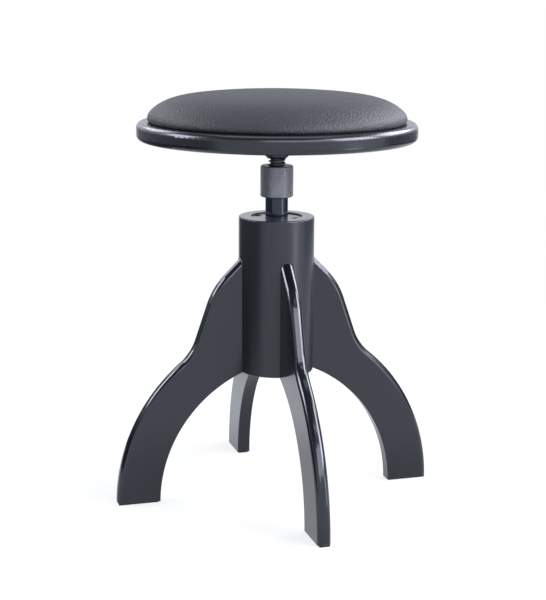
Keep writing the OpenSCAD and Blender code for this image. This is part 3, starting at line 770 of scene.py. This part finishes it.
def settle(piece):
    """Brings each point back near the outline, and adds the puckers at the lower edge."""
    points = coordinates(piece.data)
    across = np.hypot(points[:, 0], points[:, 1])
    up = points[:, 2] - BOARD_TOP - TUCK
    outline = np.array(cushion_outline(0.0, OUTLINE_STEPS))[::-1]
    rise = outline[:, 1] - TUCK
    wanted = np.interp(np.arctan2(up, across), np.arctan2(rise, outline[:, 0]),
                       np.hypot(outline[:, 0], rise))
    found = np.hypot(across, up)
    under = np.arctan2(up, across) < math.atan2(-TUCK, PAD_RADIUS - TUCK)
    length = wanted + MOST_OFF * np.tanh((found - wanted) / SOFT_OFF)
    turn = np.arctan2(points[:, 1], points[:, 0])
    pucker = sum(part * np.sin(waves * turn + sway * np.sin(sways * turn))
                 for part, waves, sway, sways in PUCKERS)
    near_edge = np.clip(1 - (points[:, 2] - BOARD_TOP) / PUCKER_HEIGHT, 0, 1) ** 2
    length -= PUCKER_DEPTH * (0.5 + 0.5 * pucker) * near_edge
    share = np.where(under, 1.0, length / np.maximum(found, TINY))
    points[:, :2] *= share[:, None]
    points[:, 2] = np.where(under, BOARD_TOP + CLEAR_OF_BOARD, BOARD_TOP + TUCK + up * share)
    piece.data.vertices.foreach_set("co", points.ravel())
    piece.data.update()
    # The underside's outer ring goes far, to make the tuck, so only what is above it is measured
    back = float(np.abs(length - found)[up > 0].max())
    print("cushion brought back by up to", round(back / MM, 2), "mm above its tuck")


# %% Cushion settled
settle(cushion)
shade(cushion)
cushion.data.materials.append(leathercloth)
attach(cushion, "seat")
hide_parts("seat_cover", "seat_foam")
print("cushion", len(cushion.data.vertices), "points")

# %% [markdown]
# **Hand nut.** The nut is gripped by hand, so its barrel is knurled: two rolls press crossing
# helical grooves into it, and small flat-topped pyramids stay between them. A bump in the material
# could draw them, but the barrel's outline would stay smooth. They are real geometry here, on a
# grid whose lines run along the grooves, so every facet is flat and crisp. A real knurl of this
# size is spaced about 1.5 mm; here it is 2.5 mm, so that it shows in the picture.

# %% Knurl
NUT_CHAMFER = 1.2 * MM
KNURL_PITCH = 2.5 * MM
KNURL_DEPTH = 0.7 * MM
PYRAMID_TOP = 0.75
GRID = 8  # grid lines from one pyramid to the next

nut_low, nut_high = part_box("hand_nut")
nut_radius = nut_high.x
knurl_length = nut_high.z - nut_low.z - 2 * NUT_CHAMFER
columns = round(2 * math.pi * nut_radius / KNURL_PITCH)
rows = round(knurl_length / KNURL_PITCH)
around = columns * GRID


def knurl_height(i, j):
    """How far a grid point stands out of the grooves, from 0 to 1."""
    u, v = i / GRID + j / GRID, i / GRID - j / GRID
    groove = max(abs(u - round(u)), abs(v - round(v)))
    return min(1.0, (1 - 2 * groove) / PYRAMID_TOP)


rings = []
for j in range(rows * GRID + 1):
    z = nut_low.z + NUT_CHAMFER + knurl_length * j / (rows * GRID)
    rings.append([(nut_radius - KNURL_DEPTH * (1 - knurl_height(i, j)), z)
                  for i in range(around)])
print("knurl of", columns, "by", rows, "pyramids")

# %% Hand nut round its bore
NUT_BORE = 10.05 * MM
GROOVES_END = 0.55 * NUT_CHAMFER  # how high above the nut's face the grooves run out

edges = [(NUT_BORE, nut_low.z + NUT_CHAMFER), (NUT_BORE + NUT_CHAMFER, nut_low.z),
         (nut_radius - NUT_CHAMFER, nut_low.z),
         (nut_radius - KNURL_DEPTH, nut_low.z + GROOVES_END)]
top_edges = [(r, nut_low.z + nut_high.z - z) for r, z in reversed(edges)]
rings = [[e] * around for e in edges] + rings + [[e] * around for e in top_edges]
points = [polar(r, 2 * math.pi * i / around, z) for ring in rings for i, (r, z) in enumerate(ring)]
faces = []
for j in range(len(rings)):
    a, b = j * around, (j + 1) % len(rings) * around
    faces += [(a + i, a + (i + 1) % around, b + (i + 1) % around, b + i) for i in range(around)]
nut = mesh_object("knurled_hand_nut", points, faces, sharp_deg=12)
nut.data.materials.append(knurled_steel)
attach(nut, "nut")
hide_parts("hand_nut")
print("hand nut of", len(faces), "faces")

# %% [markdown]
# **Screw.** The CAD draws the thread as rings. The real one is a right-handed trapezoidal thread,
# cut on a lathe. A screw modifier could wind it, but it leaves both ends ragged. So its four-sided
# profile is swept up a helix of the same diameters and pitch, past both ends, and a flat cut takes
# off what is too long. From the upper cut the plain spigot rises into the hub, and into the lower
# cut goes the hole for the stop screw.

# %% Thread swept up its helix
THREAD_R = 10 * MM
ROOT_R = 7.75 * MM
PITCH = 4 * MM
CREST = 1.464 * MM
FLANK = 0.603 * MM
THREAD_STEPS = 64
SPARE_TURNS = 3
START_BELOW = 1.503 * PITCH  # no whole number of steps, so the cut passes between the points

screw_low, screw_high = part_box("spindle")
hub_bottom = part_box("spindle_hub")[0].z
profile = [(THREAD_R, 0), (ROOT_R, FLANK), (ROOT_R, PITCH - CREST - FLANK),
           (THREAD_R, PITCH - CREST)]
corners = len(profile)
turns = math.ceil((hub_bottom - screw_low.z) / PITCH) + SPARE_TURNS
start_z = screw_low.z - START_BELOW
points = [polar(r, 2 * math.pi * k / THREAD_STEPS, start_z + z + PITCH * k / THREAD_STEPS)
          for k in range(turns * THREAD_STEPS + 1) for r, z in profile]
faces = []
for k in range(turns * THREAD_STEPS):
    a, b = corners * k, corners * (k + 1)
    faces += [(a + side, b + side, b + side + 1, a + side + 1) for side in range(corners - 1)]
    # The crest joins the profile's last corner to the first one of the next turn
    above = corners * (k + THREAD_STEPS)
    if k + THREAD_STEPS + 1 <= turns * THREAD_STEPS:
        faces.append((a + corners - 1, b + corners - 1, above + corners, above))
screw = mesh_object("height_screw", points, faces)
print("thread of", turns, "turns,", len(faces), "faces")

# %% Screw cut to length and closed
SPIGOT_R = 7 * MM
STOP_HOLE_R = 4.05 * MM
STOP_HOLE_DEPTH = 19.5 * MM
ROUND_STEPS = 48
ON_CUT = 1e-6  # metres

solid = bmesh.new()
solid.from_mesh(screw.data)
for z, side in ((screw_low.z, -1), (hub_bottom, 1)):
    bmesh.ops.bisect_plane(solid, geom=solid.verts[:] + solid.edges[:] + solid.faces[:],
                           plane_co=(0, 0, z), plane_no=(0, 0, side), clear_outer=True)
for z, radius, length in ((hub_bottom, SPIGOT_R, screw_high.z - hub_bottom),
                          (screw_low.z, STOP_HOLE_R, STOP_HOLE_DEPTH)):
    loop = [e for e in solid.edges
            if e.is_boundary and all(abs(v.co.z - z) < ON_CUT for v in e.verts)]
    inner = bmesh.ops.create_circle(solid, segments=ROUND_STEPS, radius=radius,
                                    matrix=Matrix.Translation((0, 0, z)))["verts"]
    # Each edge once, in the same order at every run, which a set would not give
    inner_edges = list(dict.fromkeys(e for v in inner for e in v.link_edges))
    bmesh.ops.bridge_loops(solid, edges=loop + inner_edges)
    risen = bmesh.ops.extrude_edge_only(solid, edges=inner_edges)["geom"]
    end_points = [v for v in risen if isinstance(v, bmesh.types.BMVert)]
    bmesh.ops.translate(solid, verts=end_points, vec=(0, 0, length))
    end_edges = [e for e in risen if isinstance(e, bmesh.types.BMEdge)]
    bmesh.ops.contextual_create(solid, geom=end_edges)
print("screw closed with", sum(not e.is_manifold for e in solid.edges), "open edges")

# %% Screw's faces turned outward
bmesh.ops.recalc_face_normals(solid, faces=solid.faces)
# The hole in the end can mislead it, but a volume below zero always tells that all face inward
if solid.calc_volume(signed=True) < 0:
    bmesh.ops.reverse_faces(solid, faces=solid.faces)
print("screw's volume", round(solid.calc_volume(signed=True) * 1e6, 1), "cubic centimetres")
solid.to_mesh(screw.data)
solid.free()
shade(screw, sharp_deg=25)
screw.data.materials.append(oxide_steel)
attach(screw, "seat")
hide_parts("spindle")
